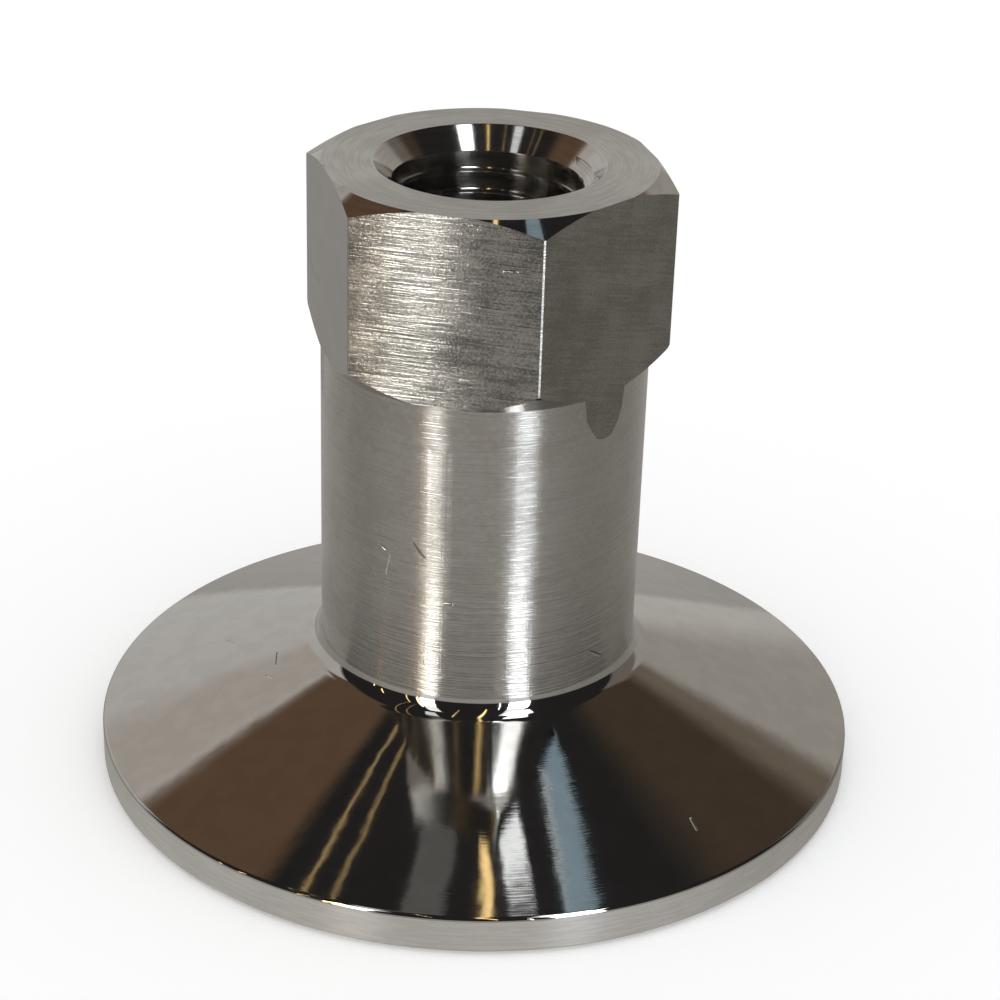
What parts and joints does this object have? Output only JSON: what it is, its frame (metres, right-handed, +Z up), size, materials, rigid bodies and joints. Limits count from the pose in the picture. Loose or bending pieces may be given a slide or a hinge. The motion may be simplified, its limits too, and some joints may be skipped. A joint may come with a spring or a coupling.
{
  "type": "sanitary clamp threaded adapter",
  "caption": "Stainless sanitary ferrule with a clamp flange and gasket groove, a round neck, and a hexagonal end with a female taper pipe thread.",
  "frame": {"origin": "centre of the clamp face at the bottom, on the bore axis", "axes": "+Z up along the bore axis, from the clamp face to the threaded port; two corners of the hexagon lie on the X axis"},
  "size_m": [0.0505, 0.0504, 0.0412],
  "materials": {
    "stainless_steel": "machined austenitic stainless steel: near-mirror fine-turned clamp cone and root fillet, fine-turned neck, across-brushed milled flats, matte rim, faced top, dark glossy thread"
  },
  "bodies": {
    "root": {"clamp_adapter": "stainless_steel"}
  },
  "joints": []
}
